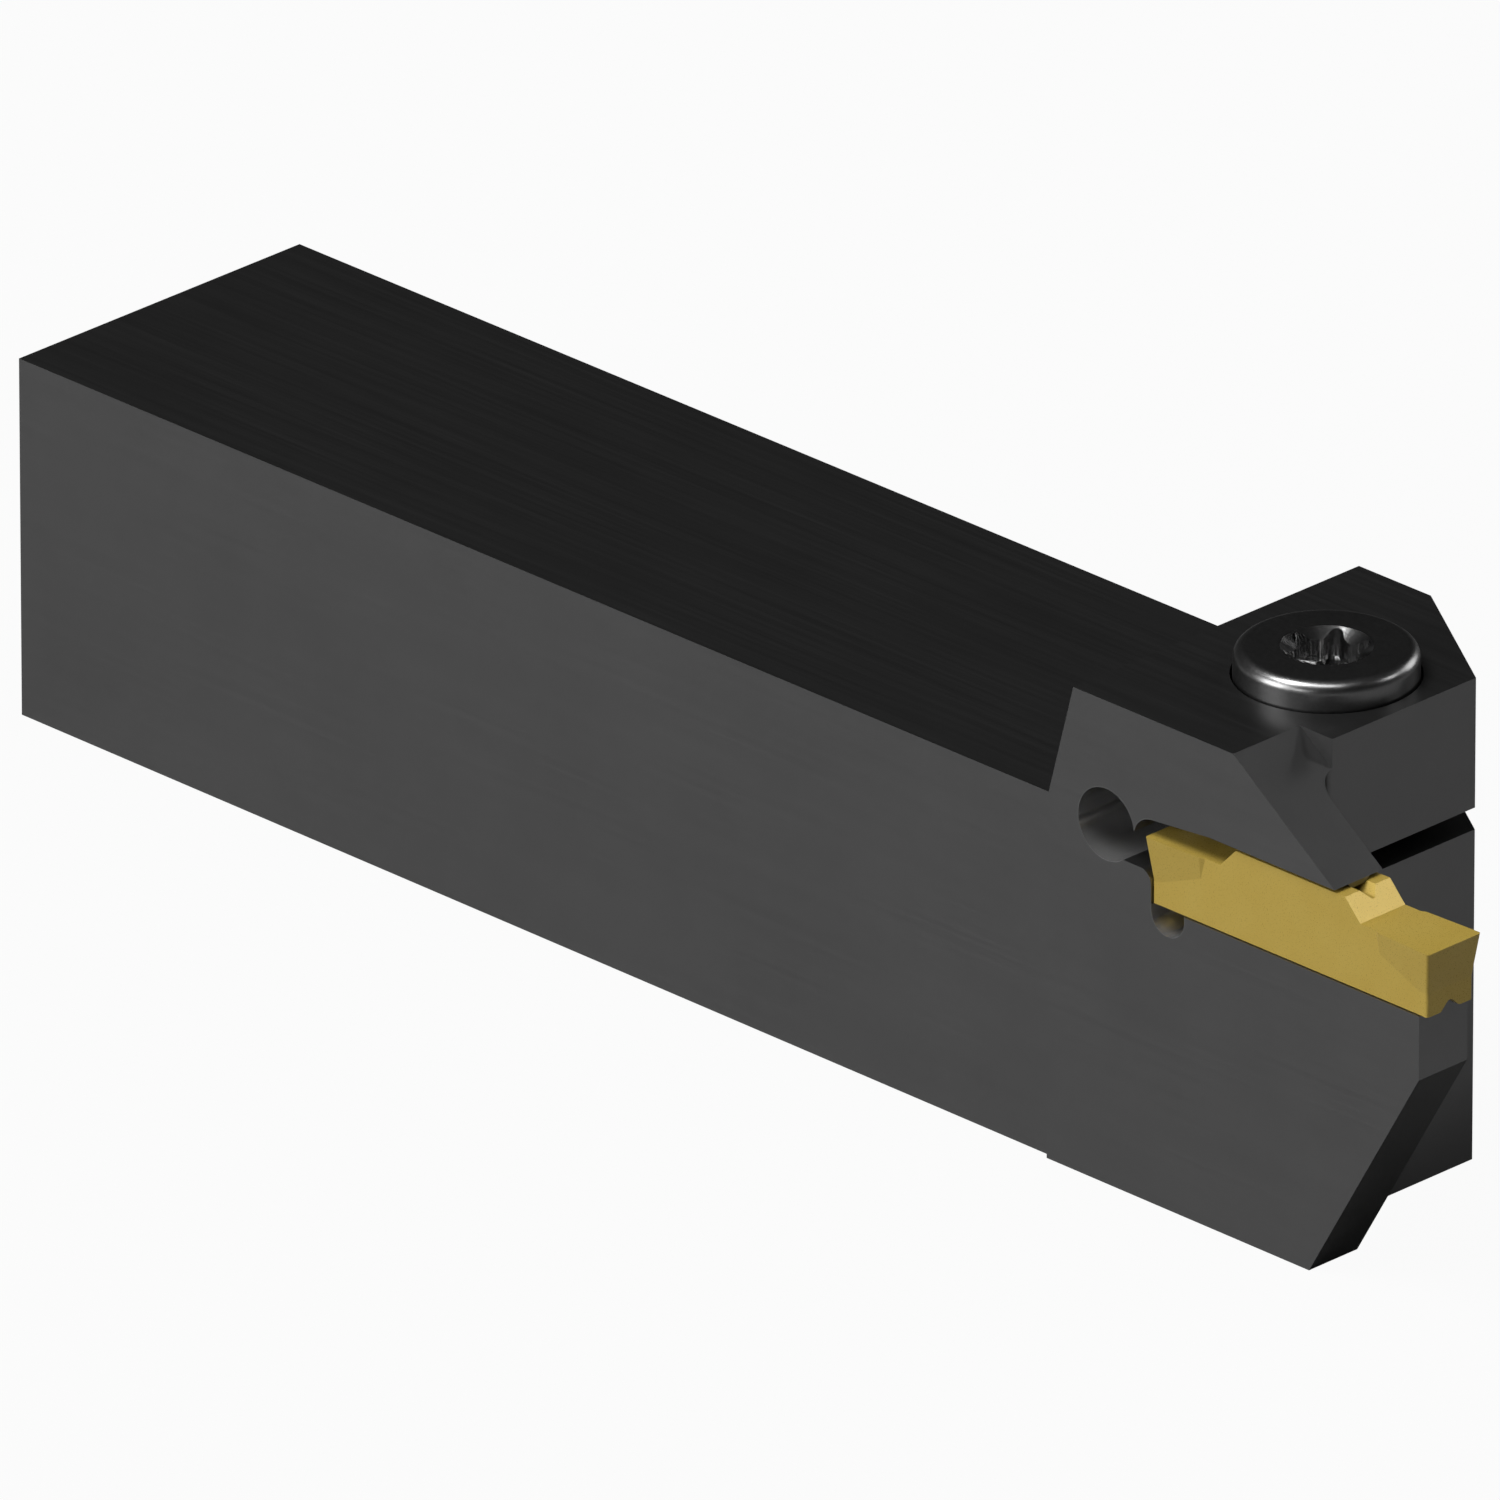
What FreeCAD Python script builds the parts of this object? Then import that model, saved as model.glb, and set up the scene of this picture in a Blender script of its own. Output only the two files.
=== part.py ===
# Grooving tool holder: a square-shank steel holder with an integral clamp jaw, a double-ended
# carbide grooving insert held between two V rails, and the screw that draws the jaw down.
# Millimetres. The origin is on the bottom seat face, mid-width of the shank, where the shank meets
# the head. +X runs along the shank to the cutting edge, -Y is the insert side, +Z is up.

import FreeCAD, Part
import os
import Sketcher

HORIZONTAL_AXIS, VERTICAL_AXIS = range(-1, -3, -1)
START, END, CENTRE = range(1, 4)

doc = FreeCAD.newDocument("grooving_tool_holder")

# Driving dimensions, one cell each. A group is a heading and the sizes below it.
SIZES = {
    "shank": {
        "shank_length": 92.4,
        "shank_width": 25.0,
        "shank_height": 25.0,
    },
    "head": {
        "head_length": 18.92,
        "head_rise": 8.15,
        "head_proud": 0.42,
        "head_lean": 15.0,
        "corner_cut_length": 10.47,
        "corner_cut_width": 6.75,
    },
    "blade": {
        "blade_thickness": 4.3,
        "blade_overhang": 13.33,
        "blade_root_radius": 1.6,
        "nose_height": 16.2,
        "nose_angle": 30.0,
    },
    "clamp jaw": {
        "finger_setback": 16.17,
        "finger_slope": 36.0,
        "slit_width": 1.5,
        "slit_drop": 1.6,
        "hinge_inset": 3.93,
        "hinge_drop": 0.4,
        "hinge_diameter": 4.9,
        "jaw_root_radius": 1.65,
        "jaw_root_inset": 0.1,
        "jaw_root_drop": 0.45,
        "jaw_ramp_length": 4.9,
    },
    "insert pocket": {
        "pocket_side_gap": 0.3,
        "seat_gap": 0.05,
        "jaw_gap": 0.25,
        "corner_relief_radius": 1.45,
        "corner_relief_drop": 0.35,
        "stop_radius": 0.95,
        "lower_rail_height": 0.5,
        "upper_rail_height": 0.35,
    },
    "cutting insert": {
        "insert_length": 24.5,
        "edge_width": 4.76,
        "edge_height": 4.5,
        "edge_over_shank": 0.1,
        "edge_overhang": 0.92,
        "core_inset": 0.39,
        "land_height": 5.9,
        "band_height": 1.6,
        "end_clearance": 7.0,
        "side_clearance": 7.0,
        "back_taper": 2.7,
        "relief_length": 4.5,
        "relief_runout": 25.0,
        "rake_length": 6.19,
        "chip_wall_angle": 46.5,
        "nose_radius": 0.2,
        "upper_groove_half_width": 0.7,
        "lower_groove_half_width": 0.8,
        "upper_groove_root": 0.3,
        "lower_groove_root": 0.4,
        "lower_groove_shoulder": 0.4,
        "groove_angle": 45.0,
    },
    "clamp screw": {
        "screw_setback": 7.05,
        "screw_inset": 12.6,
        "screw_diameter": 6.0,
        "screw_length": 20.0,
        "screw_head_diameter": 11.74,
        "screw_head_proud": 1.91,
        "screw_head_sunk": 3.0,
        "screw_head_round": 0.8,
        "screw_point": 0.8,
        "head_side_gap": 0.18,
        "shank_side_gap": 0.3,
        "thread_gap": 0.025,
        "tap_spare": 2.2,
        "drill_point_angle": 31.0,
        "socket_across": 5.6,
        "socket_waist_ratio": 0.7125,
        "socket_lobe_ratio": 0.0805,
        "socket_depth": 2.0,
        "socket_mouth_radius": 2.94,
        "socket_mouth_angle": 30.0,
    },
}


def make_sheet():
    """Spreadsheet with one named value a row, under a heading for each piece of the tool."""
    sheet = doc.addObject("Spreadsheet::Sheet", "sizes")
    row = 1
    for heading, values in SIZES.items():
        sheet.set(f"A{row}", heading)
        row += 1
        for alias, value in values.items():
            sheet.set(f"A{row}", alias)
            sheet.set(f"B{row}", str(value))
            sheet.setAlias(f"B{row}", alias)
            row += 1
    doc.recompute()
    return sheet


sheet = make_sheet()


def size(alias):
    return float(sheet.get(alias))


def names(expression):
    """Expression text in which each word that is a cell's alias reads that cell."""
    aliases = {alias for values in SIZES.values() for alias in values}
    words = expression.split()
    return " ".join(f"sizes.{word}" if word in aliases else word for word in words)


# Levels and places that several features share, as expressions over the sheet.
HEAD_TOP = "( shank_height + head_rise )"
NEAR_FACE = "( - shank_width / 2 - head_proud )"
FAR_FACE = "( shank_width / 2 )"
BLADE_INNER = f"( {NEAR_FACE} + blade_thickness )"
BLADE_CENTRE = f"( {NEAR_FACE} + blade_thickness / 2 )"
EDGE_LEVEL = "( shank_height + edge_over_shank )"
INSERT_BOTTOM = f"( {EDGE_LEVEL} - edge_height )"
POCKET_FLOOR = f"( {INSERT_BOTTOM} - seat_gap )"
INSERT_LAND = f"( {INSERT_BOTTOM} + land_height )"
JAW_UNDERSIDE = f"( {INSERT_LAND} + jaw_gap )"
POCKET_DEPTH = "( blade_thickness / 2 + edge_width / 2 + pocket_side_gap )"
SLIT_BOTTOM = f"( {EDGE_LEVEL} - slit_drop - slit_width / 2 )"
SLIT_TOP = f"( {EDGE_LEVEL} - slit_drop + slit_width / 2 )"
EDGE_SETBACK = "( ( edge_height - band_height ) * tan( end_clearance ) )"
BLADE_REACH = "( head_length + blade_overhang )"
FRONT_EDGE = f"( {BLADE_REACH} + edge_overhang )"
INSERT_CENTRE = f"( {FRONT_EDGE} - insert_length / 2 )"
STOP_FACE = f"( {FRONT_EDGE} - insert_length + {EDGE_SETBACK} )"
JAW_ROOT_PLACE = f"( {STOP_FACE} + jaw_root_inset )"
JAW_ROOT_LEVEL = f"( {JAW_UNDERSIDE} - jaw_root_drop - jaw_root_radius )"
CORE_HALF_WIDTH = "( edge_width / 2 - core_inset )"
HINGE_PLACE = f"( {STOP_FACE} - hinge_inset )"
FINGER_START = f"( {BLADE_REACH} - finger_setback )"
FINGER_TIP = f"( {FINGER_START} + ( {HEAD_TOP} - {JAW_UNDERSIDE} ) / tan( finger_slope ) )"
SCREW_PLACE = "( head_length - screw_setback )"
SCREW_SIDE = f"( {NEAR_FACE} + screw_inset )"
SCREW_SEAT = f"( {HEAD_TOP} - screw_head_sunk )"
SOCKET_HEAD_HEIGHT = "( screw_head_sunk + screw_head_proud )"


def origin_feature(body, role):
    return next(item for item in body.Origin.OriginFeatures if item.Role == role)


def new_body(name):
    body = doc.addObject("PartDesign::Body", name)
    body.Label = name
    return body


def new_sketch(body, name, plane, offset=("0", "0", "0")):
    """Sketch on one of the body's own planes, moved by an offset in the plane's own directions."""
    sketch = body.newObject("Sketcher::SketchObject", name)
    sketch.AttachmentSupport = (origin_feature(body, plane), [""])
    sketch.MapMode = "FlatFace"
    for axis, distance in zip("xyz", offset):
        if distance != "0":
            sketch.setExpression(f"AttachmentOffset.Base.{axis}", names(distance))
    return sketch


def hold_distance(sketch, kind, geometry, point, place):
    """Fixes one coordinate of a point of the sketch at an expression."""
    now = sketch.getPoint(geometry, point)
    first = now.x if kind == "DistanceX" else now.y
    index = sketch.addConstraint(Sketcher.Constraint(kind, geometry, point, first))
    sketch.setExpression(f"Constraints[{index}]", names(place))


def hold_point(sketch, geometry, point, x, y):
    """Fixes one point of the sketch at a place given as two expressions."""
    places = (("DistanceX", VERTICAL_AXIS, x), ("DistanceY", HORIZONTAL_AXIS, y))
    for kind, axis, place in places:
        if place == "0":
            sketch.addConstraint(Sketcher.Constraint("PointOnObject", geometry, point, axis))
        else:
            hold_distance(sketch, kind, geometry, point, place)


def regular_corners(count):
    """Corners of a regular polygon, from which the solver moves an outline into place."""
    turn = FreeCAD.Rotation(FreeCAD.Vector(0, 0, 1), 360.0 / count)
    corners = [FreeCAD.Vector(size("shank_width"), 0, 0)]
    while len(corners) < count:
        corners.append(turn.multVec(corners[-1]))
    return corners


def bulged(first, last):
    """Middle of a shallow arc that bows out to the right of the way from first to last."""
    way = last - first
    return (first + last) * 0.5 + FreeCAD.Vector(way.y, -way.x, 0) * 0.2


def add_outline(sketch, corners, arcs=(), rough=()):
    """Closed anticlockwise outline, each corner held at its own place.

    Sides are straight, except that the side after a corner numbered in arcs is an arc whose
    centre is held at the distance given there. Rough places help the solver with the arcs.
    """
    count = len(corners)
    starts = [FreeCAD.Vector(x, y, 0) for x, y in rough] or regular_corners(count)
    for number, corner in enumerate(starts):
        following = starts[(number + 1) % count]
        if number in arcs:
            side = Part.Arc(corner, bulged(corner, following), following)
        else:
            side = Part.LineSegment(corner, following)
        sketch.addGeometry(side, False)
    for number in range(count):
        following = (number + 1) % count
        sketch.addConstraint(Sketcher.Constraint("Coincident", number, END, following, START))
    for number, (x, y) in enumerate(corners):
        hold_point(sketch, number, START, x, y)
    for number in arcs:
        hold_distance(sketch, "DistanceX", number, CENTRE, arcs[number])


def add_circle(sketch, x, y, radius):
    centre = FreeCAD.Vector(1, 1, 0)
    circle = sketch.addGeometry(Part.Circle(centre, FreeCAD.Vector(0, 0, 1), 1.0), False)
    hold_point(sketch, circle, CENTRE, x, y)
    index = sketch.addConstraint(Sketcher.Constraint("Radius", circle, 1.0))
    sketch.setExpression(f"Constraints[{index}]", names(radius))


def add_prism(body, kind, name, sketch, length=None, backwards=False):
    """Pad or Pocket of a sketch; with no length a Pocket goes right through."""
    feature = body.newObject(f"PartDesign::{kind}", name)
    feature.Profile = sketch
    feature.Reversed = backwards
    if length is None:
        feature.Type = "ThroughAll"
    else:
        feature.setExpression("Length", names(length))
    sketch.Visibility = False
    return feature


def edges_at(feature, test):
    """Names of the feature's edges whose two ends, or whole circle, pass the test."""
    doc.recompute()
    found = []
    for number, edge in enumerate(feature.Shape.Edges, start=1):
        if test(edge):
            found.append(f"Edge{number}")
    if not found:
        raise ValueError(f"no edge of {feature.Name} is where the next feature needs one")
    return found


def near(first, second, tolerance=0.01):
    return abs(first - second) < tolerance


def add_round(body, name, feature, radius, test):
    rounding = body.newObject("PartDesign::Fillet", name)
    rounding.Base = (feature, edges_at(feature, test))
    rounding.setExpression("Radius", names(radius))
    return rounding


def along_z_at(x, y):
    """Test for an edge that stands at (x, y) and runs up."""
    def test(edge):
        ends = [vertex.Point for vertex in edge.Vertexes]
        return len(ends) == 2 and all(near(end.x, x) and near(end.y, y) for end in ends)
    return test


def along_y_at(x, z):
    """Test for an edge that runs across the tool at (x, z)."""
    def test(edge):
        ends = [vertex.Point for vertex in edge.Vertexes]
        return len(ends) == 2 and all(near(end.x, x) and near(end.z, z) for end in ends)
    return test


def along_x_at(y, z):
    """Test for an edge that runs along the tool at height z, at the distance y to either side."""
    def test(edge):
        ends = [vertex.Point for vertex in edge.Vertexes]
        return len(ends) == 2 and all(near(abs(end.y), y) and near(end.z, z) for end in ends)
    return test


def shared_values():
    """The few shared places that edge tests need as numbers, worked out from the sheet."""
    edge_setback = (size("edge_height") - size("band_height")) * tangent(size("end_clearance"))
    front_edge = size("head_length") + size("blade_overhang") + size("edge_overhang")
    near_face = -size("shank_width") / 2 - size("head_proud")
    edge_level = size("shank_height") + size("edge_over_shank")
    return {
        "blade_inner": near_face + size("blade_thickness"),
        "stop_face": front_edge - size("insert_length") + edge_setback,
        "slit_bottom": edge_level - size("slit_drop") - size("slit_width") / 2,
    }


def tangent(degrees):
    turned = FreeCAD.Rotation(FreeCAD.Vector(0, 0, 1), degrees).multVec(FreeCAD.Vector(1, 0, 0))
    return turned.y / turned.x


def shape_head_and_shank(body):
    """Head and blade seen from above, with the shank behind them, as the bar is first milled."""
    plan = new_sketch(body, "head_plan", "XY_Plane")
    cut_start = "( shank_width / 2 - corner_cut_width )"
    add_outline(plan, [
        ("0", NEAR_FACE),
        (BLADE_REACH, NEAR_FACE),
        (BLADE_REACH, BLADE_INNER),
        ("head_length", BLADE_INNER),
        ("head_length", cut_start),
        ("( head_length - corner_cut_length )", FAR_FACE),
        ("0", FAR_FACE),
    ])
    head = add_prism(body, "Pad", "head", plan, HEAD_TOP)
    places = shared_values()
    root_edge = along_z_at(size("head_length"), places["blade_inner"])
    add_round(body, "blade_root", head, "blade_root_radius", root_edge)
    shank_plan = new_sketch(body, "shank_plan", "XY_Plane")
    overlap = "( ( head_length - corner_cut_length ) / 2 )"
    add_outline(shank_plan, [
        ("( - shank_length )", "( - shank_width / 2 )"),
        (overlap, "( - shank_width / 2 )"),
        (overlap, FAR_FACE),
        ("( - shank_length )", FAR_FACE),
    ])
    add_prism(body, "Pad", "shank", shank_plan, "shank_height")


def side_sketch(body, name):
    """Sketch in the near face of the head, seen from the insert side."""
    return new_sketch(body, name, "XZ_Plane", ("0", "0", f"( - {NEAR_FACE} )"))


def shape_rear_lean(body):
    """The head's rear face leans forward above the shank."""
    sketch = side_sketch(body, "rear_lean_side")
    above = f"( {HEAD_TOP} + 1 )"
    add_outline(sketch, [
        ("0", "shank_height"),
        ("( ( head_rise + 1 ) * tan( head_lean ) )", above),
        ("( - head_rise )", above),
        ("( - head_rise )", "shank_height"),
    ])
    add_prism(body, "Pocket", "rear_lean", sketch)


def shape_blade_nose(body):
    """The blade is cut back below, so that it clears the work."""
    sketch = side_sketch(body, "blade_nose_side")
    beyond = f"( {BLADE_REACH} + 1 )"
    foot = f"( {BLADE_REACH} - nose_height * tan( nose_angle ) )"
    add_outline(sketch, [
        (foot, "0"),
        (foot, "( - 1 )"),
        (beyond, "( - 1 )"),
        (beyond, "nose_height"),
        (BLADE_REACH, "nose_height"),
    ])
    add_prism(body, "Pocket", "blade_nose", sketch)


def shape_insert_pocket(body):
    """Pocket for the insert, open at the near face, with round reliefs in its inner corners."""
    sketch = side_sketch(body, "insert_pocket_side")
    beyond = f"( {BLADE_REACH} + 1 )"
    rear_wall = f"( {JAW_ROOT_PLACE} - jaw_root_radius )"
    add_outline(sketch, [
        (STOP_FACE, POCKET_FLOOR),
        (beyond, POCKET_FLOOR),
        (beyond, JAW_UNDERSIDE),
        (f"( {JAW_ROOT_PLACE} + jaw_ramp_length )", JAW_UNDERSIDE),
        (JAW_ROOT_PLACE, f"( {JAW_ROOT_LEVEL} + jaw_root_radius )"),
        (rear_wall, JAW_ROOT_LEVEL),
        (rear_wall, SLIT_BOTTOM),
        (STOP_FACE, SLIT_BOTTOM),
    ])
    add_prism(body, "Pocket", "insert_pocket", sketch, POCKET_DEPTH)
    reliefs = {
        "jaw_root": (JAW_ROOT_PLACE, JAW_ROOT_LEVEL, "jaw_root_radius"),
        "corner_relief": (f"( {STOP_FACE} + corner_relief_radius )",
                          f"( {POCKET_FLOOR} - corner_relief_drop )", "corner_relief_radius"),
    }
    for name, (x, z, radius) in reliefs.items():
        circle = side_sketch(body, f"{name}_circle")
        add_circle(circle, x, z, radius)
        add_prism(body, "Pocket", name, circle, POCKET_DEPTH)


def add_rail(body, name, start, end, root_level, height, root_half_width):
    """V rail along the blade's middle; a negative height hangs it from the jaw."""
    sketch = new_sketch(body, f"{name}_section", "YZ_Plane", (BLADE_CENTRE, "0", start))
    rise = height.strip("- ")
    crest_half_width = f"( {root_half_width} - {rise} / tan( groove_angle ) )"
    add_outline(sketch, [
        (f"( - {root_half_width} )", root_level),
        (root_half_width, root_level),
        (crest_half_width, f"( {root_level} + {height} )"),
        (f"( - {crest_half_width} )", f"( {root_level} + {height} )"),
    ])
    add_prism(body, "Pad", name, sketch, f"( {end} - {start} )")


def shape_rails(body):
    """The two rails fit the insert's V grooves and bear on their flanks."""
    spread = "/ tan( groove_angle )"
    lower_start = f"( {STOP_FACE} + 2 * corner_relief_radius )"
    lower_root = f"( lower_groove_half_width + seat_gap {spread} )"
    add_rail(body, "lower_rail", lower_start, BLADE_REACH,
             POCKET_FLOOR, "lower_rail_height", lower_root)
    upper_start = f"( {JAW_ROOT_PLACE} + jaw_ramp_length )"
    upper_root = f"( upper_groove_half_width + jaw_gap {spread} )"
    add_rail(body, "upper_rail", upper_start, FINGER_TIP,
             JAW_UNDERSIDE, "- upper_rail_height", upper_root)


def shape_finger(body):
    """Front of the jaw, milled down over the blade's width to a thin clamp finger."""
    sketch = side_sketch(body, "finger_side")
    beyond = f"( {BLADE_REACH} + 1 )"
    above = f"( {HEAD_TOP} + 1 )"
    add_outline(sketch, [
        (FINGER_START, HEAD_TOP),
        (FINGER_TIP, JAW_UNDERSIDE),
        (beyond, JAW_UNDERSIDE),
        (beyond, above),
        (FINGER_START, above),
    ])
    add_prism(body, "Pocket", "finger", sketch, "( blade_thickness + blade_root_radius )")


def shape_flexure(body):
    """Slit and hinge hole right across the head, so that the jaw can bend down."""
    slit = side_sketch(body, "slit_side")
    open_end = "( head_length + 2 * blade_root_radius )"
    add_outline(slit, [
        (HINGE_PLACE, SLIT_BOTTOM),
        (open_end, SLIT_BOTTOM),
        (open_end, SLIT_TOP),
        (HINGE_PLACE, SLIT_TOP),
    ])
    add_prism(body, "Pocket", "slit", slit)
    hinge = side_sketch(body, "hinge_circle")
    add_circle(hinge, HINGE_PLACE, f"( {EDGE_LEVEL} - hinge_drop )", "( hinge_diameter / 2 )")
    hinge_hole = add_prism(body, "Pocket", "hinge_hole", hinge)
    places = shared_values()
    stop_edge = along_y_at(places["stop_face"], places["slit_bottom"])
    add_round(body, "stop_round", hinge_hole, "stop_radius", stop_edge)


def shape_screw_hole(body):
    """Stepped hole: counterbore and clearance in the jaw, tapped and blind below the slit."""
    offset = (SCREW_PLACE, "0", f"( - {SCREW_SIDE} )")
    sketch = new_sketch(body, "screw_hole_section", "XZ_Plane", offset)
    above = f"( {HEAD_TOP} + 1 )"
    bore = "( screw_head_diameter / 2 + head_side_gap )"
    clearance = "( screw_diameter / 2 + shank_side_gap )"
    tapped = "( screw_diameter / 2 + thread_gap )"
    mid_slit = f"( {EDGE_LEVEL} - slit_drop )"
    full_depth = f"( {SCREW_SEAT} - screw_length - tap_spare )"
    add_outline(sketch, [
        ("0", above),
        (bore, above),
        (bore, SCREW_SEAT),
        (clearance, SCREW_SEAT),
        (clearance, mid_slit),
        (tapped, mid_slit),
        (tapped, full_depth),
        ("0", f"( {full_depth} - {tapped} * tan( drill_point_angle ) )"),
    ])
    groove = body.newObject("PartDesign::Groove", "screw_hole")
    groove.Profile = sketch
    groove.ReferenceAxis = (sketch, ["V_Axis"])
    groove.Angle = 360


def make_holder():
    body = new_body("holder_body")
    shape_head_and_shank(body)
    shape_rear_lean(body)
    shape_blade_nose(body)
    shape_insert_pocket(body)
    shape_rails(body)
    shape_finger(body)
    shape_flexure(body)
    shape_screw_hole(body)
    return body


def end_outline(shrink_side, shrink_end):
    """Plan of one cutting end at some depth below its edge, and the arcs of its two corners.

    It is widest at the edge, tapers back, and runs out into the core at a blunt angle.
    """
    tip = f"( insert_length / 2 - {shrink_end} )"
    tip_half = f"( edge_width / 2 - {shrink_side} )"
    root = "( insert_length / 2 - relief_length )"
    root_half = f"( {tip_half} - ( {tip} - {root} ) * tan( back_taper ) )"
    inner = f"( {root} - {root_half} / tan( relief_runout ) )"
    reach = "( nose_radius / tan( 45 - back_taper / 2 ) )"
    side = f"( {tip} - {reach} * cos( back_taper ) )"
    side_half = f"( {tip_half} - {reach} * sin( back_taper ) )"
    end_half = f"( {tip_half} - {reach} )"
    corners = [
        (inner, "0"),
        (root, f"( - {root_half} )"),
        (side, f"( - {side_half} )"),
        (tip, f"( - {end_half} )"),
        (tip, end_half),
        (side, side_half),
        (root, root_half),
    ]
    arc_centre = f"( {tip} - nose_radius )"
    return corners, {2: arc_centre, 4: arc_centre}


def rough_end_corners():
    """Places near the corners of an end outline."""
    tip = size("insert_length") / 2
    root = tip - size("relief_length")
    half = size("edge_width") / 2
    corner = size("nose_radius")
    one_side = [(root, -half), (tip - corner, -half), (tip, corner - half)]
    other_side = [(x, -y) for x, y in reversed(one_side)]
    return [(root - 2 * half, 0), *one_side, *other_side]


def shape_insert_core(body):
    """Narrow core of the insert from the side, with its two rake faces and the raised land."""
    sketch = new_sketch(body, "core_side", "XZ_Plane")
    end = f"( insert_length / 2 - {EDGE_SETBACK} - 2 * nose_radius )"
    foot = "( insert_length / 2 - rake_length )"
    crest = f"( {foot} - ( land_height - edge_height ) / tan( chip_wall_angle ) )"
    front = [(end, "0"), (end, "edge_height"), (foot, "edge_height"), (crest, "land_height")]
    rear = [(f"( - {x} )", z) for x, z in reversed(front)]
    add_outline(sketch, front + rear)
    core = add_prism(body, "Pad", "core", sketch, f"( 2 * {CORE_HALF_WIDTH} )")
    core.SideType = "Symmetric"


def shape_insert_ends(body):
    """Ground cutting ends, wider than the core, relieved downwards and backwards."""
    side = "( ( edge_height - band_height ) * tan( side_clearance ) )"
    levels = {
        "edge": ("edge_height", "0", "0"),
        "band": ("band_height", side, EDGE_SETBACK),
        "foot": ("0", side, EDGE_SETBACK),
    }
    plans = []
    for name, (level, shrink_side, shrink_end) in levels.items():
        sketch = new_sketch(body, f"{name}_plan", "XY_Plane", ("0", "0", level))
        corners, arcs = end_outline(shrink_side, shrink_end)
        add_outline(sketch, corners, arcs, rough_end_corners())
        plans.append(sketch)
    end = body.newObject("PartDesign::AdditiveLoft", "front_end")
    end.Profile = plans[0]
    end.Sections = plans[1:]
    end.Ruled = True
    doc.recompute()
    both = body.newObject("PartDesign::Mirrored", "both_ends")
    both.Originals = [end]
    both.MirrorPlane = (origin_feature(body, "YZ_Plane"), [""])
    body.Tip = both


def shape_insert_grooves(body):
    """V grooves along the insert's top and bottom, which ride on the holder's rails."""
    start = "( - insert_length / 2 - 1 )"
    grooves = {
        "lower": ("0", "lower_groove_half_width", "+", "-"),
        "upper": ("land_height", "upper_groove_half_width", "-", "+"),
    }
    for name, (level, half_width, inwards, outwards) in grooves.items():
        sketch = new_sketch(body, f"{name}_groove_section", "YZ_Plane", ("0", "0", start))
        apex = f"( {level} {inwards} {half_width} * tan( groove_angle ) )"
        mouth = f"( {level} {outwards} 1 )"
        mouth_half = f"( {half_width} + 1 / tan( groove_angle ) )"
        add_outline(sketch, [
            (f"( - {mouth_half} )", mouth),
            ("0", apex),
            (mouth_half, mouth),
        ])
        groove = add_prism(body, "Pocket", f"{name}_groove", sketch,
                           "( insert_length + 2 )", backwards=True)
        depth = size(f"{name}_groove_half_width") * tangent(size("groove_angle"))
        root_level = depth if name == "lower" else size("land_height") - depth
        add_round(body, f"{name}_groove_round", groove, f"{name}_groove_root",
                  along_x_at(0, root_level))
    grooved = body.Tip
    shoulder = along_x_at(size("lower_groove_half_width"), 0)
    add_round(body, "lower_groove_shoulders", grooved, "lower_groove_shoulder", shoulder)


def make_insert():
    body = new_body("cutting_insert")
    shape_insert_core(body)
    shape_insert_ends(body)
    shape_insert_grooves(body)
    place = {"x": INSERT_CENTRE, "y": BLADE_CENTRE, "z": INSERT_BOTTOM}
    for axis, distance in place.items():
        body.setExpression(f"Placement.Base.{axis}", names(distance))
    return body


def shape_screw_blank(body):
    """Turned screw: low cap head, mouth cone of the socket, plain shank with a bevelled point."""
    sketch = new_sketch(body, "screw_section", "XZ_Plane")
    head_radius = "( screw_head_diameter / 2 )"
    radius = "( screw_diameter / 2 )"
    cone_foot = f"( {SOCKET_HEAD_HEIGHT} - socket_mouth_radius * tan( socket_mouth_angle ) )"
    add_outline(sketch, [
        ("0", cone_foot),
        ("socket_mouth_radius", SOCKET_HEAD_HEIGHT),
        (head_radius, SOCKET_HEAD_HEIGHT),
        (head_radius, "0"),
        (radius, "0"),
        (radius, "( screw_point - screw_length )"),
        ("( screw_diameter / 2 - screw_point )", "( - screw_length )"),
        ("0", "( - screw_length )"),
    ])
    blank = body.newObject("PartDesign::Revolution", "blank")
    blank.Profile = sketch
    blank.ReferenceAxis = (sketch, ["V_Axis"])
    blank.Angle = 360
    head_height = size("screw_head_sunk") + size("screw_head_proud")

    def rim(edge):
        """True for the upper outer rim of the head."""
        on_top = all(near(vertex.Z, head_height) for vertex in edge.Vertexes)
        is_circle = hasattr(edge.Curve, "Radius")
        return on_top and is_circle and near(edge.Curve.Radius, size("screw_head_diameter") / 2)

    return add_round(body, "head_round", blank, "screw_head_round", rim)


def lobe_sector():
    """Arcs of one sixth of the six-lobe outline: valley, lobe and valley, as ends and centres."""
    lobe_radius = size("socket_across") * size("socket_lobe_ratio")
    waist = size("socket_across") * size("socket_waist_ratio") / 2
    lobe_place = size("socket_across") / 2 - lobe_radius
    half_turn = FreeCAD.Rotation(FreeCAD.Vector(0, 0, 1), 30)
    cosine = half_turn.multVec(FreeCAD.Vector(1, 0, 0)).x
    upper = lobe_radius ** 2 - lobe_place ** 2 - waist ** 2 + 2 * lobe_place * waist * cosine
    valley_radius = upper / (2 * (waist - lobe_place * cosine - lobe_radius))
    lobe_centre = FreeCAD.Vector(lobe_place, 0, 0)
    valley_centre = half_turn.multVec(FreeCAD.Vector(waist + valley_radius, 0, 0))
    valley_point = half_turn.multVec(FreeCAD.Vector(waist, 0, 0))
    towards = (valley_centre - lobe_centre).normalize()
    touch = lobe_centre + towards * lobe_radius
    return lobe_centre, lobe_radius, valley_centre, valley_radius, valley_point, touch


def flipped(point):
    return FreeCAD.Vector(point.x, -point.y, 0)


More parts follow.
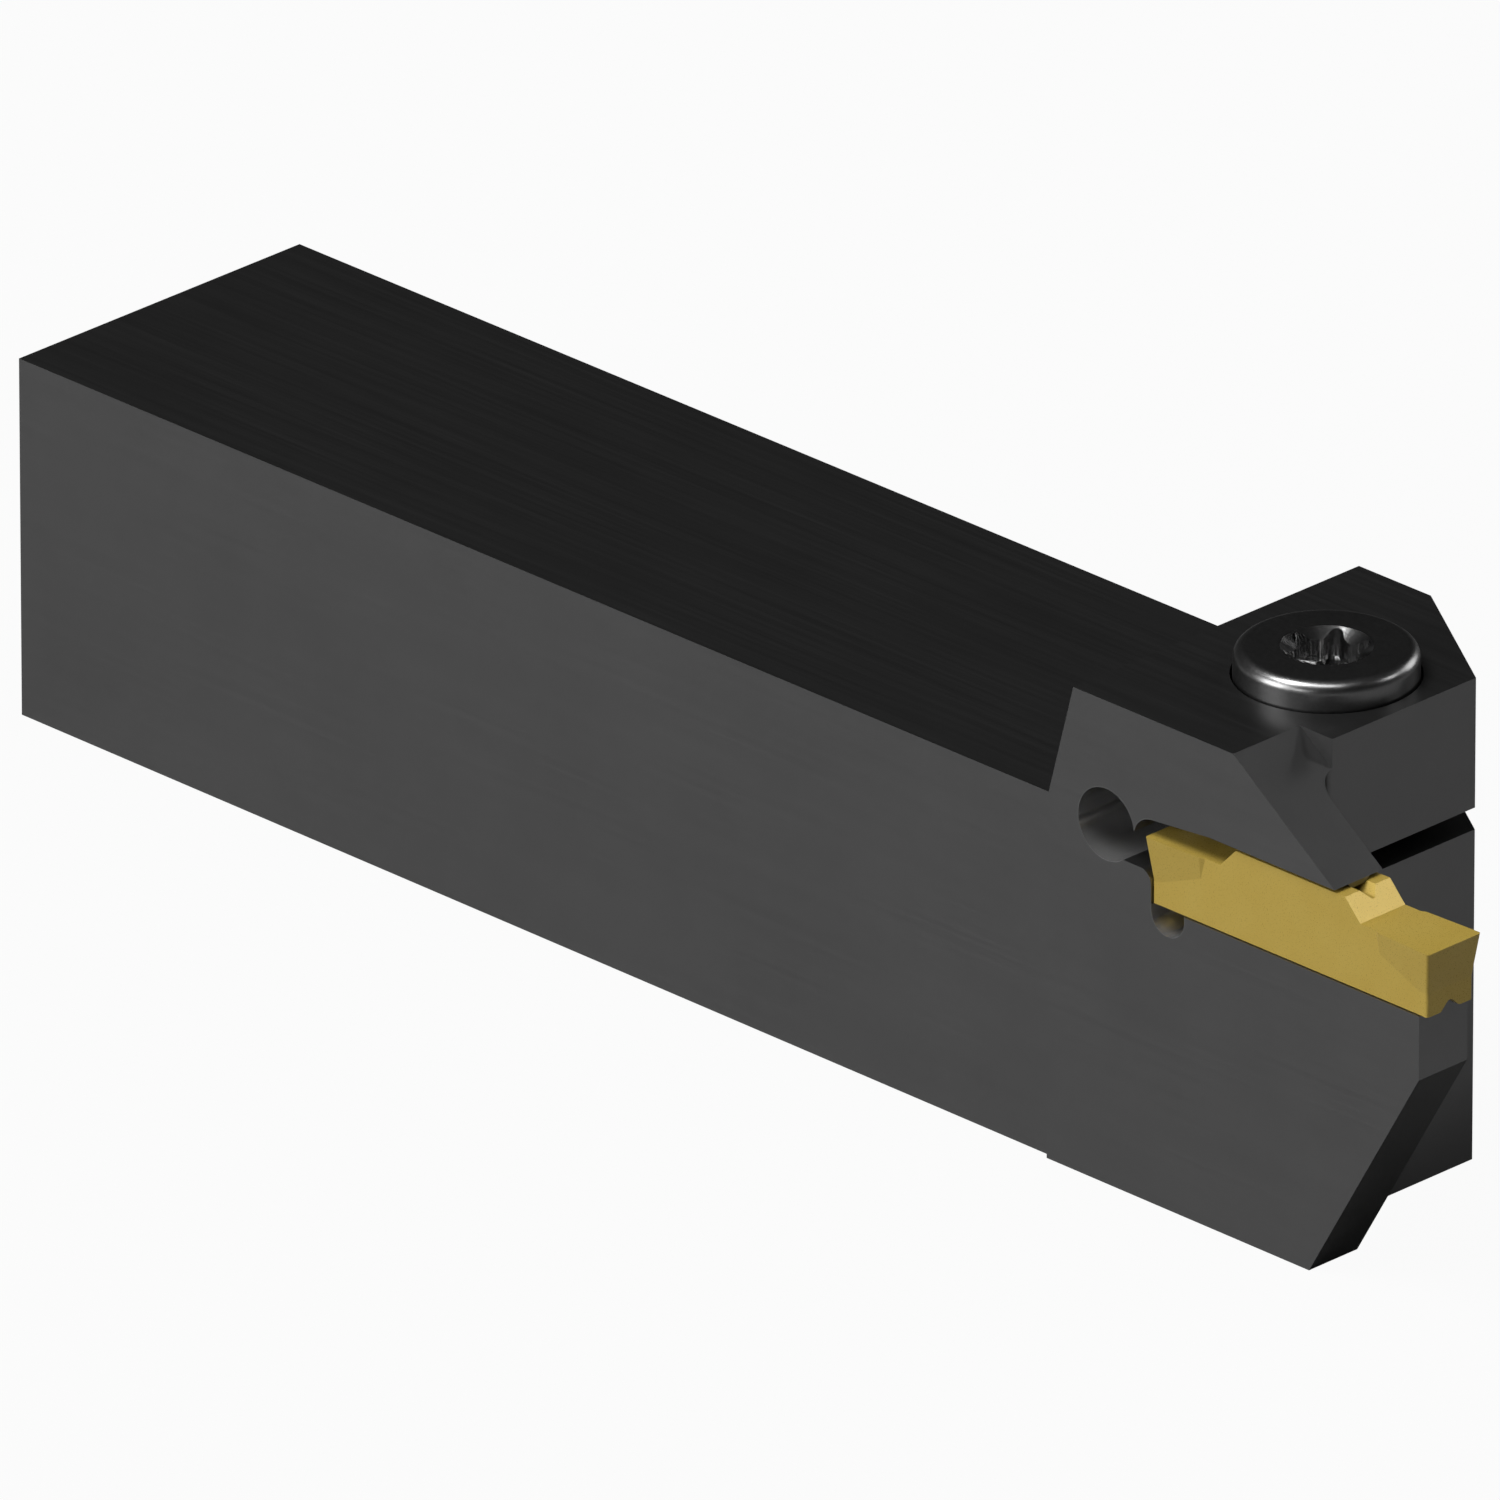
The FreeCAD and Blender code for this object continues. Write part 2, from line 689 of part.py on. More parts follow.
def add_arc(sketch, first, middle, last):
    return sketch.addGeometry(Part.Arc(first, middle, last), False)


def between(centre, radius, first, last):
    """Point of an arc half-way between its two ends."""
    middle = (first + last) * 0.5 - centre
    return centre + middle.normalize() * radius


def shape_socket(body, blank):
    """Six-lobe socket: one lobe sector is cut and repeated round the screw's axis."""
    lobe_centre, lobe_radius, valley_centre, valley_radius, valley, touch = lobe_sector()
    sketch = new_sketch(body, "lobe_plan", "XY_Plane", ("0", "0", SOCKET_HEAD_HEIGHT))
    middle = FreeCAD.Vector(0, 0, 0)
    sketch.addGeometry(Part.LineSegment(middle, flipped(valley)), False)
    bend = between(valley_centre, valley_radius, valley, touch)
    crown = FreeCAD.Vector(lobe_centre.x + lobe_radius, 0, 0)
    low_valley = add_arc(sketch, flipped(valley), flipped(bend), flipped(touch))
    lobe = add_arc(sketch, flipped(touch), crown, touch)
    high_valley = add_arc(sketch, touch, bend, valley)
    closing = sketch.addGeometry(Part.LineSegment(valley, middle), False)
    waist = "( socket_across * socket_waist_ratio / 2 )"
    lobe_size = "( socket_across * socket_lobe_ratio )"
    hold_point(sketch, 0, START, "0", "0")
    hold_point(sketch, 0, END, f"( {waist} * cos( 30 ) )", f"( - {waist} * sin( 30 ) )")
    hold_point(sketch, closing, START, f"( {waist} * cos( 30 ) )", f"( {waist} * sin( 30 ) )")
    hold_point(sketch, closing, END, "0", "0")
    hold_point(sketch, lobe, CENTRE, f"( socket_across / 2 - {lobe_size} )", "0")
    index = sketch.addConstraint(Sketcher.Constraint("Radius", lobe, lobe_radius))
    sketch.setExpression(f"Constraints[{index}]", names(lobe_size))
    # The two valleys bend opposite ways, so one starts at the lobe and the other at its line; each
    # joint below is made at whichever ends meet.
    join_arcs(sketch, 0, END, low_valley)
    join_arcs(sketch, closing, START, high_valley)
    for valley_arc in (low_valley, high_valley):
        join_smooth(sketch, valley_arc, lobe)
    sketch.addConstraint(Sketcher.Constraint("PointOnObject", low_valley, CENTRE, 0))
    sketch.addConstraint(Sketcher.Constraint("PointOnObject", high_valley, CENTRE, closing))
    pocket = add_prism(body, "Pocket", "lobe", sketch, "socket_depth")
    doc.recompute()
    pattern = body.newObject("PartDesign::PolarPattern", "socket")
    pattern.Originals = [pocket]
    pattern.Axis = (origin_feature(body, "Z_Axis"), [""])
    pattern.Angle = 360
    pattern.Occurrences = 6
    body.Tip = pattern


def end_of(sketch, geometry, point):
    """Which end of the geometry lies nearest a point."""
    ends = {number: sketch.getPoint(geometry, number) for number in (START, END)}
    return min(ends, key=lambda number: ends[number].distanceToPoint(point))


def join_arcs(sketch, line, line_end, arc):
    point = sketch.getPoint(line, line_end)
    arc_end = end_of(sketch, arc, point)
    sketch.addConstraint(Sketcher.Constraint("Coincident", line, line_end, arc, arc_end))


def join_smooth(sketch, valley_arc, lobe):
    """Tangent joint between a valley arc and the lobe arc, at the ends that meet."""
    for lobe_end in (START, END):
        point = sketch.getPoint(lobe, lobe_end)
        valley_end = end_of(sketch, valley_arc, point)
        if sketch.getPoint(valley_arc, valley_end).distanceToPoint(point) < 0.001:
            joint = Sketcher.Constraint("Tangent", valley_arc, valley_end, lobe, lobe_end)
            sketch.addConstraint(joint)


def make_screw():
    body = new_body("clamp_screw")
    blank = shape_screw_blank(body)
    shape_socket(body, blank)
    place = {"x": SCREW_PLACE, "y": SCREW_SIDE, "z": SCREW_SEAT}
    for axis, distance in place.items():
        body.setExpression(f"Placement.Base.{axis}", names(distance))
    return body


def check_document(bodies):
    """Stops if any object failed, or if any cut or pad left its body's volume as it was."""
    doc.recompute()
    for item in doc.Objects:
        if "Invalid" in item.State or "Error" in item.State:
            raise ValueError(f"{item.Name} failed: {item.State}")
    for body in bodies:
        shape = body.Shape
        if shape.isNull() or not shape.isValid() or len(shape.Solids) != 1:
            raise ValueError(f"{body.Label} isn't one valid solid")
        volume = 0.0
        for feature in body.Group:
            if feature.isDerivedFrom("PartDesign::Feature"):
                if near(feature.Shape.Volume, volume, 0.0001):
                    raise ValueError(f"{feature.Name} changed nothing in {body.Label}")
                volume = feature.Shape.Volume


def export_parts(bodies):
    os.makedirs("parts", exist_ok=True)
    for body in bodies:
        body.Shape.exportStep(f"parts/{body.Label}.step")


bodies = [make_holder(), make_insert(), make_screw()]
check_document(bodies)
export_parts(bodies)
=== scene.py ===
import math

import bmesh
import bpy
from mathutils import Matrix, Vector


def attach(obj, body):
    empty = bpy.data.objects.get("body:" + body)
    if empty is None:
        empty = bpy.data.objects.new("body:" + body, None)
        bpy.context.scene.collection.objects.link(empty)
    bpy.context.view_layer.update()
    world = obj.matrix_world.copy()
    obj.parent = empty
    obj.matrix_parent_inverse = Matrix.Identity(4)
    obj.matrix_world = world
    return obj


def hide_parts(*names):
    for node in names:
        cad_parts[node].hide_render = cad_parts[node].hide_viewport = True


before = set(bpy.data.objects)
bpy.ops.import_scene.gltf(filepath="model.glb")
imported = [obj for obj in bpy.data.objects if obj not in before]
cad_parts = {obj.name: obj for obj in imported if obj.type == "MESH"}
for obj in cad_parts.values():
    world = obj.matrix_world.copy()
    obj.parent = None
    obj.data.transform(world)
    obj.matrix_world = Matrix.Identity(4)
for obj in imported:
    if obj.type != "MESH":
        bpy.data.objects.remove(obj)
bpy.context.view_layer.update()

# Holder body: one bar of hardened tool steel, ground on the square shank, milled to a thin blade and
# a slit clamp jaw at the head, then blackened in a hot salt bath. The solid from the frame is shown
# as it is, with the finish of the real one.


def linear(hex_colour):
    """An sRGB hex colour as linear red, green, blue and alpha."""
    parts = [int(hex_colour[start:start + 2], 16) / 255 for start in (1, 3, 5)]
    return [c / 12.92 if c <= 0.04045 else ((c + 0.055) / 1.055) ** 2.4 for c in parts] + [1.0]


def empty_tree(owner):
    """The node tree of a material or a world, without the nodes that it comes with."""
    owner.use_nodes = True
    owner.node_tree.nodes.clear()
    return owner.node_tree


def add(tree, kind, settings=None, inputs=None):
    """Adds a node, with its settings by name and its inputs as values or as links from sockets."""
    node = tree.nodes.new(kind)
    for name, value in (settings or {}).items():
        setattr(node, name, value)
    for socket, value in (inputs or {}).items():
        if isinstance(value, bpy.types.NodeSocket):
            tree.links.new(value, node.inputs[socket])
        else:
            node.inputs[socket].default_value = value
    return node


# Blackened ground tool steel: a dark, satin metal. Grinding leaves fine lines along the bar, drawn
# 0.3 mm apart because the real ones are too fine to show, and the bath leaves a faint cloudiness
# some 8 mm across. Both patterns are given as repeats to the metre.
grinding_lines = (60.0, 3300.0, 3300.0)
oxide_clouds = 125.0
scratch_depth = 0.000004

# The round holes behind the insert are bored last and stay bare. Their walls are also painted a
# light grey as painted light, standing in for the light that reaches inside them. Each is given as
# its place along the bar, its height, its radius and where it ends across the bar: the hinge hole
# goes right through the head, and the other two end at the insert pocket's inner wall.
far_face = 0.0125
pocket_wall = -0.0080
bored_holes = {
    "hinge": (0.0050961, 0.0247, 0.00245, far_face + 0.001),
    "insert_corner": (0.0104761, 0.0202, 0.00145, pocket_wall),
    "jaw_root": (0.0091261, 0.02465, 0.00165, pocket_wall),
}
just_outside = 0.000006
bored_roughness_change = -0.13

holder_steel = bpy.data.materials.new("blackened_ground_tool_steel")
tree = empty_tree(holder_steel)
place = add(tree, "ShaderNodeTexCoord").outputs["Object"]
along_bar = add(tree, "ShaderNodeMapping", inputs={
    "Vector": place,
    "Scale": grinding_lines,
}).outputs["Vector"]
grinding = add(tree, "ShaderNodeTexNoise", inputs={
    "Vector": along_bar,
    "Scale": 1.0,
    "Detail": 3.0,
    "Roughness": 0.55,
}).outputs["Fac"]
clouding = add(tree, "ShaderNodeTexNoise", inputs={
    "Vector": place,
    "Scale": oxide_clouds,
    "Detail": 4.0,
    "Roughness": 0.6,
}).outputs["Fac"]
oxide = add(tree, "ShaderNodeMix", {"data_type": "RGBA"}, {
    "Factor": clouding,
    "A": linear("#6C6C6C"),
    "B": linear("#757575"),
}).outputs[2]
across_bar = add(tree, "ShaderNodeSeparateXYZ", inputs={"Vector": place}).outputs["Y"]
side_view = add(tree, "ShaderNodeVectorMath", {"operation": "MULTIPLY"}, {
    0: place,
    1: (1.0, 0.0, 1.0),
}).outputs["Vector"]
bare_and_painted_light_walls = 0.0
for along, up, radius, hole_end in bored_holes.values():
    from_axis = add(tree, "ShaderNodeVectorMath", {"operation": "DISTANCE"}, {
        0: side_view,
        1: (along, 0.0, up),
    }).outputs["Value"]
    inside = add(tree, "ShaderNodeMath", {"operation": "LESS_THAN"}, {
        0: from_axis,
        1: radius + just_outside,
    }).outputs[0]
    in_depth = add(tree, "ShaderNodeMath", {"operation": "LESS_THAN"}, {
        0: across_bar,
        1: hole_end,
    }).outputs[0]
    bare_and_painted_light_walls = add(tree, "ShaderNodeMath", {"operation": "MULTIPLY_ADD", "use_clamp": True}, {
        0: inside,
        1: in_depth,
        2: bare_and_painted_light_walls,
    }).outputs[0]
# Painted light: the hole walls are mixed to a light grey, standing in for light inside these recesses.
steel_colour = add(tree, "ShaderNodeMix", {"data_type": "RGBA"}, {
    "Factor": bare_and_painted_light_walls,
    "A": oxide,
    "B": linear("#C8C8C8"),
}).outputs[2]
metal_share = add(tree, "ShaderNodeMapRange", inputs={
    "Value": bare_and_painted_light_walls,
    "To Min": 1.0,
    "To Max": 0.9,
}).outputs["Result"]
ground_roughness = add(tree, "ShaderNodeMapRange", inputs={
    "Value": grinding,
    "To Min": 0.3,
    "To Max": 0.37,
}).outputs["Result"]
steel_roughness = add(tree, "ShaderNodeMath", {"operation": "MULTIPLY_ADD"}, {
    0: bare_and_painted_light_walls,
    1: bored_roughness_change,
    2: ground_roughness,
}).outputs[0]
scratches = add(tree, "ShaderNodeBump", inputs={
    "Strength": 0.35,
    "Distance": scratch_depth,
    "Height": grinding,
}).outputs["Normal"]
steel = add(tree, "ShaderNodeBsdfPrincipled", inputs={
    "Base Color": steel_colour,
    "Metallic": metal_share,
    "Specular Tint": (0.25, 0.25, 0.25, 1.0),
    "Roughness": steel_roughness,
    "Normal": scratches,
}).outputs["BSDF"]
add(tree, "ShaderNodeOutputMaterial", inputs={"Surface": steel})

holder_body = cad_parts["holder_body"]
holder_body.data.materials.clear()
holder_body.data.materials.append(holder_steel)

# Cutting insert: cemented carbide, pressed, sintered and ground at both cutting ends, then coated
# with a few thousandths of a millimetre of gold-coloured nitride. V grooves along its top and
# bottom ride on the holder's rails, and the jaw presses it down.

# Nitride coating on sintered carbide: a warm satin gold with a grain of about 0.08 mm, and faint
# changes of hue over 2 mm as the coating's thickness varies. Both are given as repeats to the metre.
sinter_grain = 12000.0
hue_patches = 450.0
grain_depth = 0.000004

insert_coating = bpy.data.materials.new("nitride_coated_carbide")
tree = empty_tree(insert_coating)
place = add(tree, "ShaderNodeTexCoord").outputs["Object"]
grain = add(tree, "ShaderNodeTexNoise", inputs={
    "Vector": place,
    "Scale": sinter_grain,
    "Detail": 2.0,
    "Roughness": 0.6,
}).outputs["Fac"]
hue_drift = add(tree, "ShaderNodeTexNoise", inputs={
    "Vector": place,
    "Scale": hue_patches,
    "Detail": 3.0,
}).outputs["Fac"]
gold = add(tree, "ShaderNodeMix", {"data_type": "RGBA"}, {
    "Factor": hue_drift,
    "A": linear("#A1883A"),
    "B": linear("#A99246"),
}).outputs[2]
satin = add(tree, "ShaderNodeMapRange", inputs={
    "Value": grain,
    "To Min": 0.24,
    "To Max": 0.33,
}).outputs["Result"]
sintered = add(tree, "ShaderNodeBump", inputs={
    "Strength": 0.3,
    "Distance": grain_depth,
    "Height": grain,
}).outputs["Normal"]
coating = add(tree, "ShaderNodeBsdfPrincipled", inputs={
    "Base Color": gold,
    "Metallic": 0.35,
    "Roughness": satin,
    "Normal": sintered,
}).outputs["BSDF"]
add(tree, "ShaderNodeOutputMaterial", inputs={"Surface": coating})

cutting_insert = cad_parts["cutting_insert"]
cutting_insert.data.materials.clear()
cutting_insert.data.materials.append(insert_coating)

# Clamp screw: an M6 cap screw with a low round head and a six-lobe socket, cold headed, thread
# rolled and blackened. It stands in the jaw's counterbore and pulls the jaw down on the insert.
# Its levels are measured from the underside of the head, which lies on the counterbore's floor.
screw_axis = (0.01187, -0.00032)
seat_level = 0.03015
head_radius = 0.00587
head_height = 0.00491
head_bevel = 0.0002
shoulder_round = 0.0008
shoulder_steps = 12
neck_length = 0.0009
neck_fillet = 0.0005
neck_radius = 0.002885
shank_length = 0.020
point_radius = 0.0022
thread_crest = 0.002985
thread_root = 0.00245
thread_pitch = 0.001
thread_length = 0.0178
thread_from_point = 0.00045
run_out_length = 0.008
mouth_radius = 0.00294
mouth_slope = math.tan(math.radians(30))
socket_floor = head_height - 0.002
socket_across = 0.0056
socket_waist = socket_across * 0.7125
lobe_tip_radius = socket_across * 0.0805
turn_steps = 192


def socket_radius(angle):
    """Distance from the screw's axis to the socket's wall, for lobes and valleys that meet smoothly."""
    lobe_place = socket_across / 2 - lobe_tip_radius
    waist = socket_waist / 2
    cosine = math.cos(math.radians(30))
    valley_radius = (lobe_tip_radius ** 2 - lobe_place ** 2 - waist ** 2
                     + 2 * lobe_place * waist * cosine)
    valley_radius /= 2 * (waist - lobe_place * cosine - lobe_tip_radius)
    valley_place = waist + valley_radius
    from_lobe = abs((angle + math.pi / 6) % (math.pi / 3) - math.pi / 6)
    valley_x = valley_place * cosine - lobe_place
    valley_y = valley_place * 0.5
    span = math.hypot(valley_x, valley_y)
    touch_x = lobe_place + lobe_tip_radius * valley_x / span
    touch_y = lobe_tip_radius * valley_y / span
    if from_lobe <= math.atan2(touch_y, touch_x):
        side = lobe_place * math.sin(from_lobe)
        return lobe_place * math.cos(from_lobe) + math.sqrt(lobe_tip_radius ** 2 - side ** 2)
    from_valley = math.pi / 6 - from_lobe
    side = valley_place * math.sin(from_valley)
    return valley_place * math.cos(from_valley) - math.sqrt(valley_radius ** 2 - side ** 2)


def turned_profile():
    """The blank's outline from the point up to the rim of the socket's mouth, as radius and level."""
    profile = [
        (point_radius, -shank_length),
        (thread_root, thread_root - point_radius - shank_length),
        (thread_root, -neck_length),
        (neck_radius, -neck_fillet),
        (thread_crest, 0.0),
        (head_radius - head_bevel, 0.0),
        (head_radius, head_bevel),
    ]
    for step in range(shoulder_steps + 1):
        turn = math.pi / 2 * step / shoulder_steps
        radius = head_radius - shoulder_round * (1 - math.cos(turn))
        level = head_height - shoulder_round * (1 - math.sin(turn))
        profile.append((radius, level))
    profile.append((mouth_radius, head_height))
    return profile


# The blank is built ring by ring: the turned outline, the cone of the mouth down to the lobes, and
# the socket's wall with a small fillet at its floor, each step an inset and a rise over the floor.
floor_fillet = ((0.0, 0.00012), (0.00004, 0.00003), (0.00013, 0.0))
socket_wall = [socket_radius(2 * math.pi * step / turn_steps) for step in range(turn_steps)]
rings = [[(radius, level)] * turn_steps for radius, level in turned_profile()]
rings.append([(r, head_height - (mouth_radius - r) * mouth_slope) for r in socket_wall])
for inset, rise in floor_fillet:
    rings.append([(r - inset, socket_floor + rise) for r in socket_wall])

blank = bmesh.new()
loops = []
for ring in rings:
    loop = []
    for step, (radius, level) in enumerate(ring):
        angle = 2 * math.pi * step / turn_steps
        loop.append(blank.verts.new((radius * math.cos(angle), radius * math.sin(angle), level)))
    loops.append(loop)
for lower, upper in zip(loops, loops[1:]):
    for step in range(turn_steps):
        following = (step + 1) % turn_steps
        blank.faces.new((lower[step], lower[following], upper[following], upper[step]))
tip = blank.verts.new((0, 0, -shank_length))
floor_middle = blank.verts.new((0, 0, socket_floor))
for step in range(turn_steps):
    following = (step + 1) % turn_steps
    blank.faces.new((tip, loops[0][following], loops[0][step]))
    blank.faces.new((floor_middle, loops[-1][step], loops[-1][following]))
bmesh.ops.recalc_face_normals(blank, faces=blank.faces)
blank_mesh = bpy.data.meshes.new("clamp_screw_blank")
blank.to_mesh(blank_mesh)
blank.free()
blank_screw = bpy.data.objects.new("clamp_screw_blank", blank_mesh)
bpy.context.collection.objects.link(blank_screw)

# Black oxide on rolled steel: nearly black and glossy, with turning rings 0.25 mm apart round the
# screw's axis and a finer speckle, both given as repeats to the metre. The socket is painted
# lighter than the rest and made smoother: painted light, standing in for the light that falls into it.
turning_rings = 4000.0
oxide_speckle = 5000.0
ring_depth = 0.000004
past_mouth = 0.00002
below_floor = 0.0002
socket_roughness_change = -0.12

screw_oxide = bpy.data.materials.new("black_oxide_screw_steel")
tree = empty_tree(screw_oxide)
place = add(tree, "ShaderNodeTexCoord").outputs["Object"]
centred = add(tree, "ShaderNodeMapping", inputs={
    "Vector": place,
    "Location": (-screw_axis[0], -screw_axis[1], 0.0),
}).outputs["Vector"]
plan_view = add(tree, "ShaderNodeVectorMath", {"operation": "MULTIPLY"}, {
    0: centred,
    1: (1.0, 1.0, 0.0),
}).outputs["Vector"]
from_axis = add(tree, "ShaderNodeVectorMath", {"operation": "LENGTH"}, {
    0: plan_view,
}).outputs["Value"]
ring_place = add(tree, "ShaderNodeCombineXYZ", inputs={"X": from_axis}).outputs["Vector"]
turning = add(tree, "ShaderNodeTexNoise", inputs={
    "Vector": ring_place,
    "Scale": turning_rings,
    "Detail": 2.0,
}).outputs["Fac"]
speckle = add(tree, "ShaderNodeTexNoise", inputs={
    "Vector": place,
    "Scale": oxide_speckle,
    "Detail": 2.0,
}).outputs["Fac"]
black = add(tree, "ShaderNodeMix", {"data_type": "RGBA"}, {
    "Factor": speckle,
    "A": linear("#6B6B6B"),
    "B": linear("#767676"),
}).outputs[2]
in_mouth = add(tree, "ShaderNodeMath", {"operation": "LESS_THAN"}, {
    0: from_axis,
    1: mouth_radius + past_mouth,
}).outputs[0]
height = add(tree, "ShaderNodeSeparateXYZ", inputs={"Vector": place}).outputs["Z"]
above_floor = add(tree, "ShaderNodeMath", {"operation": "GREATER_THAN"}, {
    0: height,
    1: seat_level + socket_floor - below_floor,
}).outputs[0]
socket_painted_light = add(tree, "ShaderNodeMath", {"operation": "MULTIPLY"}, {
    0: in_mouth,
    1: above_floor,
}).outputs[0]
# Painted light: the socket's walls and floor are mixed to a lighter grey, standing in for light falling
# into the socket.
screw_colour = add(tree, "ShaderNodeMix", {"data_type": "RGBA"}, {
    "Factor": socket_painted_light,
    "A": black,
    "B": linear("#9A9A9A"),
}).outputs[2]
oxide_roughness = add(tree, "ShaderNodeMapRange", inputs={
    "Value": speckle,
    "To Min": 0.26,
    "To Max": 0.34,
}).outputs["Result"]
screw_roughness = add(tree, "ShaderNodeMath", {"operation": "MULTIPLY_ADD"}, {
    0: socket_painted_light,
    1: socket_roughness_change,
    2: oxide_roughness,
}).outputs[0]
turned = add(tree, "ShaderNodeBump", inputs={
    "Strength": 0.25,
    "Distance": ring_depth,
    "Height": turning,
}).outputs["Normal"]
black_steel = add(tree, "ShaderNodeBsdfPrincipled", inputs={
    "Base Color": screw_colour,
    "Metallic": 1.0,
    "Specular Tint": (0.4, 0.4, 0.4, 1.0),
    "Roughness": screw_roughness,
    "Normal": turned,
}).outputs["BSDF"]
add(tree, "ShaderNodeOutputMaterial", inputs={"Surface": black_steel})

# The rolled thread: one right-handed ridge wound round the shank, with flanks 60 degrees apart, a
# narrow flat crest, a foot sunk a little into the shank, and a run-out at each end.
thread_sizes = {
    "Pitch": thread_pitch,
    "Thread Length": thread_length,
    "Root Radius": thread_root,
    "Crest Radius": thread_crest,
    "Run Out": run_out_length,
}
foot_share = 0.43
crest_share = 0.09
foot_sunk = -0.00003
thinnest = 0.05
steps_to_turn = 48

thread = bpy.data.node_groups.new("rolled_thread", "GeometryNodeTree")
thread.interface.new_socket("Geometry", in_out="OUTPUT", socket_type="NodeSocketGeometry")
thread.interface.new_socket("Geometry", in_out="INPUT", socket_type="NodeSocketGeometry")
for name in thread_sizes:
    thread.interface.new_socket(name, in_out="INPUT", socket_type="NodeSocketFloat")
thread.interface.new_socket("Start", in_out="INPUT", socket_type="NodeSocketVector")
given = add(thread, "NodeGroupInput").outputs
turns = add(thread, "ShaderNodeMath", {"operation": "DIVIDE"}, {
    0: given["Thread Length"],
    1: given["Pitch"],
}).outputs[0]
helix = add(thread, "GeometryNodeCurveSpiral", inputs={
    "Resolution": steps_to_turn,
    "Rotations": turns,
    "Start Radius": given["Root Radius"],
    "End Radius": given["Root Radius"],
    "Height": given["Thread Length"],
    "Reverse": True,
}).outputs["Curve"]
upright = add(thread, "GeometryNodeSetCurveNormal", {"mode": "Z_UP"}, {
    "Curve": helix,
}).outputs["Curve"]
from_start = add(thread, "GeometryNodeSplineParameter").outputs["Length"]
whole_length = add(thread, "GeometryNodeSplineLength").outputs["Length"]
to_go = add(thread, "ShaderNodeMath", {"operation": "SUBTRACT"}, {
    0: whole_length,
    1: from_start,
}).outputs[0]
from_nearer_end = add(thread, "ShaderNodeMath", {"operation": "MINIMUM"}, {
    0: to_go,
    1: from_start,
}).outputs[0]
fullness = add(thread, "ShaderNodeMapRange", inputs={
    "Value": from_nearer_end,
    "From Max": given["Run Out"],
    "To Min": thinnest,
}).outputs["Result"]
depth = add(thread, "ShaderNodeMath", {"operation": "SUBTRACT"}, {
    0: given["Crest Radius"],
    1: given["Root Radius"],
}).outputs[0]
high_foot = add(thread, "ShaderNodeMath", {"operation": "MULTIPLY"}, {
    0: given["Pitch"],
    1: foot_share,
}).outputs[0]
high_crest = add(thread, "ShaderNodeMath", {"operation": "MULTIPLY"}, {
    0: given["Pitch"],
    1: crest_share,
}).outputs[0]
low_foot = add(thread, "ShaderNodeMath", {"operation": "MULTIPLY"}, {
    0: high_foot,
    1: -1.0,
}).outputs[0]
low_crest = add(thread, "ShaderNodeMath", {"operation": "MULTIPLY"}, {
    0: high_crest,
    1: -1.0,
}).outputs[0]
corners = {
    "Point 1": (foot_sunk, low_foot),
    "Point 2": (depth, low_crest),
    "Point 3": (depth, high_crest),
    "Point 4": (foot_sunk, high_foot),
}
section_points = {}
for name, (outward, along) in corners.items():
    section_points[name] = add(thread, "ShaderNodeCombineXYZ", inputs={
        "X": outward,
        "Y": along,
    }).outputs["Vector"]
section = add(thread, "GeometryNodeCurvePrimitiveQuadrilateral", {"mode": "POINTS"},
              section_points).outputs["Curve"]
ridge = add(thread, "GeometryNodeCurveToMesh", inputs={
    "Curve": upright,
    "Profile Curve": section,
    "Scale": fullness,
    "Fill Caps": True,
}).outputs["Mesh"]
lowered = add(thread, "GeometryNodeTransform", inputs={
    "Geometry": ridge,
    "Translation": given["Start"],
}).outputs["Geometry"]
joined = add(thread, "GeometryNodeJoinGeometry").inputs["Geometry"]
thread.links.new(given["Geometry"], joined)
thread.links.new(lowered, joined)
whole_screw = add(thread, "GeometryNodeRealizeInstances", inputs={
    "Geometry": joined.node.outputs["Geometry"],
}).outputs["Geometry"]
finished = add(thread, "GeometryNodeSetMaterial", inputs={
    "Geometry": whole_screw,
    "Material": screw_oxide,
}).outputs["Geometry"]
add(thread, "NodeGroupOutput", inputs={"Geometry": finished})

rolling = blank_screw.modifiers.new("rolled_thread", "NODES")
rolling.node_group = thread
for socket in thread.interface.items_tree:
    if socket.in_out == "INPUT" and socket.name in thread_sizes:
        rolling[socket.identifier] = thread_sizes[socket.name]
    if socket.in_out == "INPUT" and socket.name == "Start":
        rolling[socket.identifier] = (0.0, 0.0, thread_from_point - shank_length)
evaluated = blank_screw.evaluated_get(bpy.context.evaluated_depsgraph_get())
screw_mesh = bpy.data.meshes.new_from_object(evaluated)
screw_mesh.name = "clamp_screw_threaded"
seat = Vector((*screw_axis, seat_level))
for vertex in screw_mesh.vertices:
    vertex.co += seat
for face in screw_mesh.polygons:
    face.use_smooth = True
screw_mesh.set_sharp_from_angle(angle=math.radians(28))
clamp_screw = bpy.data.objects.new("clamp_screw_threaded", screw_mesh)
bpy.context.collection.objects.link(clamp_screw)
bpy.data.objects.remove(blank_screw)
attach(clamp_screw, "root")
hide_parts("clamp_screw")

# Studio: a pale paper floor that the tool stands on, in a room with dim walls. The camera sees the
# floor and the backdrop as white, and the floor keeps a faint shadow of the tool. Mirrored in the
# tool, both show far less of that white, so the blackened steel stays dark.
floor_reach = 12.0
white_when_mirrored = 0.02
more_when_seen = 0.93

